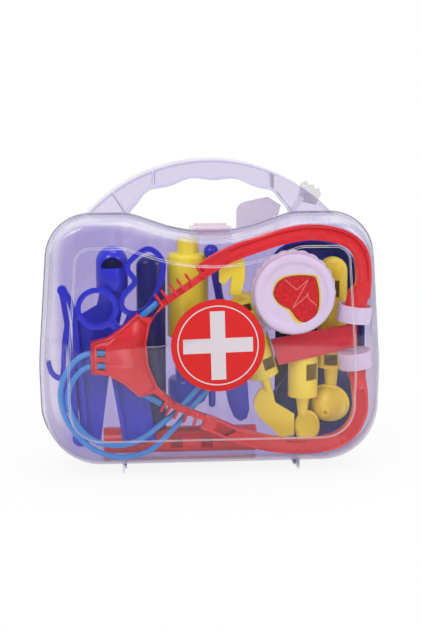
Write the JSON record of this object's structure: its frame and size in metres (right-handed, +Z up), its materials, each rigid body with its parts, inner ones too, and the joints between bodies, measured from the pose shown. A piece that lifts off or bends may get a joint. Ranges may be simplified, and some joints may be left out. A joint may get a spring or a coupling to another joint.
{
  "type": "toy doctor case",
  "caption": "Clear toy carry case on two feet with a hinged front, latch and arched handle, packed with a toy stethoscope, syringe, scissors, hammer and other play doctor tools.",
  "frame": {"origin": "on the ground, below the middle of the seam between the two shells", "axes": "+X to the right seen from the front, -Y to the front, +Z up through the handle"},
  "size_m": [0.26, 0.0604, 0.237],
  "materials": {
    "smoked_clear": "clear lavender-tinted moulding, gloss",
    "clear": "clear moulding, gloss",
    "clear_pin": "clear moulding, gloss",
    "latch_clear": "milky clear moulding, gloss",
    "film": "clear film, gloss",
    "sticker_red": "printed label, gloss",
    "sticker_white": "printed label, gloss",
    "red": "moulded plastic, gloss",
    "light_blue": "moulded plastic, satin",
    "soft_blue": "soft tube, satin",
    "white": "moulded plastic, gloss",
    "label": "printed label, gloss",
    "yellow": "moulded plastic, gloss",
    "blue": "moulded plastic, gloss",
    "navy": "moulded plastic, gloss"
  },
  "bodies": {
    "case": {"rear_shell": "smoked_clear", "hinge_pin_left": "clear_pin", "hinge_pin_right": "clear_pin", "rear_tab": "film", "edge_tab": "film", "steth_frame": "red", "stub_tube_upper": "light_blue", "stub_tube_lower": "light_blue", "ear_cup_upper": "white", "ear_cup_lower": "white", "tube_outer": "soft_blue", "tube_inner": "soft_blue", "chest_bell": "white", "chest_ring": "white", "heart_label": "label", "tube_connector": "white", "syringe_barrel": "yellow", "scissor_back": "blue", "scissor_rivet": "blue", "tweezers": "blue", "otoscope": "blue", "hook_probe": "blue", "thermometer": "blue", "ball_probe": "blue", "hammer_handle": "navy", "hammer_head": "red", "mirror_tray": "blue", "kidney_dish": "navy", "spatula_tool": "yellow", "spoon_tool": "yellow", "ball_tool": "yellow", "yellow_clip": "yellow", "arm_strap": "red"},
    "lid": {"front_shell": "clear", "sticker_disc": "sticker_red", "sticker_emblem": "sticker_white", "latch_pin": "clear_pin"},
    "latch": {"latch": "latch_clear"},
    "plunger": {"syringe_plunger": "blue"},
    "scissor_half": {"scissor_front": "blue"}
  },
  "joints": [
    {"name": "front_hinge", "type": "hinge", "parent": "case", "child": "lid", "pos_m": [0, 0, 0.0033], "axis": [1, 0, 0], "range_deg": [0, 175]},
    {"name": "latch_pivot", "type": "hinge", "parent": "lid", "child": "latch", "pos_m": [0, -0.0105, 0.18614], "axis": [1, 0, 0], "range_deg": [0, 100]},
    {"name": "plunger_slide", "type": "slide", "parent": "case", "child": "plunger", "axis": [0, 0, 1], "range_m": [0, 0.028]},
    {"name": "scissor_pivot", "type": "hinge", "parent": "case", "child": "scissor_half", "pos_m": [-0.066, -0.01575, 0.11], "axis": [0, 1, 0], "range_deg": [-15, 4]}
  ]
}
